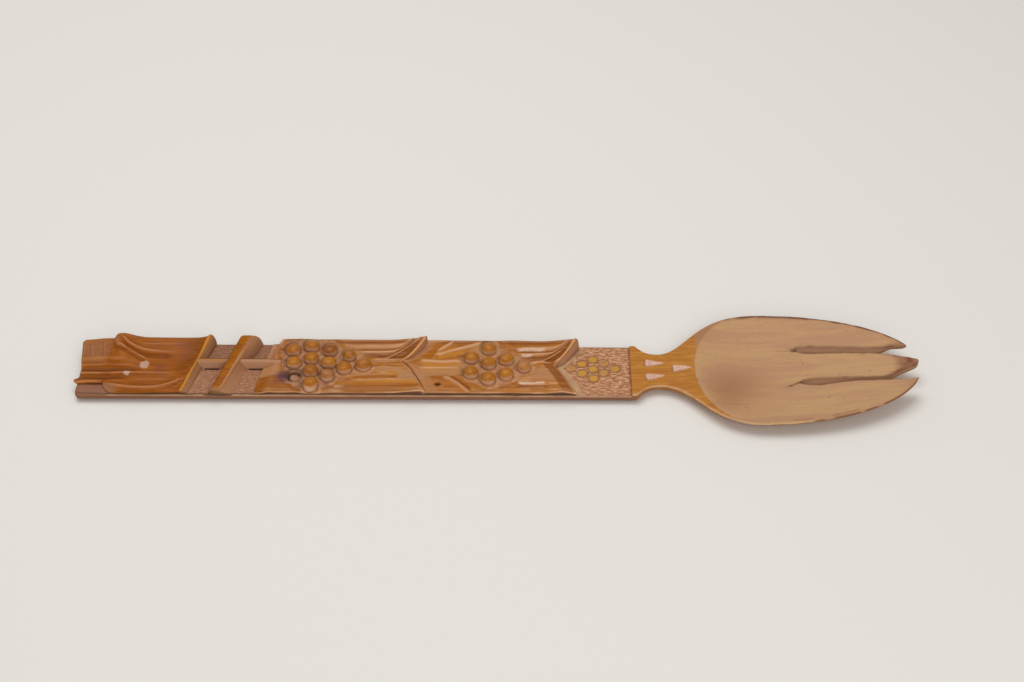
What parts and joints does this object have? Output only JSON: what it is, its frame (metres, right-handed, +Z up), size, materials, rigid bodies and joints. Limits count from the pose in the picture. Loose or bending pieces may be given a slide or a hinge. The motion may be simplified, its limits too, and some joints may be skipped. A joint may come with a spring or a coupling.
{
  "type": "serving spork",
  "caption": "Carved wooden serving spork: shallow tined bowl on a flat handle with an applied grapevine relief, for serving salad or fruit.",
  "frame": {"origin": "middle of the overall length and width, on the table that the spork lies on", "axes": "+X along the handle to the tine tips, +Y to the far long edge, +Z up from the table"},
  "size_m": [0.298, 0.0564, 0.0086],
  "materials": {
    "board_wood": "oiled, worn matte",
    "relief_wood": "satin varnish",
    "grape_wood": "gloss varnish"
  },
  "bodies": {
    "root": {"spork_body": "board_wood", "end_scroll": "relief_wood", "cross_bar": "relief_wood", "stem_rod": "relief_wood", "rear_leaf_panel": "relief_wood", "front_leaf_panel": "relief_wood", "rear_grape_01": "grape_wood", "rear_grape_02": "grape_wood", "rear_grape_03": "grape_wood", "rear_grape_04": "grape_wood", "rear_grape_05": "grape_wood", "rear_grape_06": "grape_wood", "rear_grape_07": "grape_wood", "rear_grape_08": "grape_wood", "rear_grape_09": "grape_wood", "rear_grape_10": "grape_wood", "rear_grape_11": "grape_wood", "rear_grape_12": "grape_wood", "front_grape_01": "grape_wood", "front_grape_02": "grape_wood", "front_grape_03": "grape_wood", "front_grape_04": "grape_wood", "front_grape_05": "grape_wood", "front_grape_06": "grape_wood", "front_grape_07": "grape_wood", "front_grape_08": "grape_wood"}
  },
  "joints": []
}
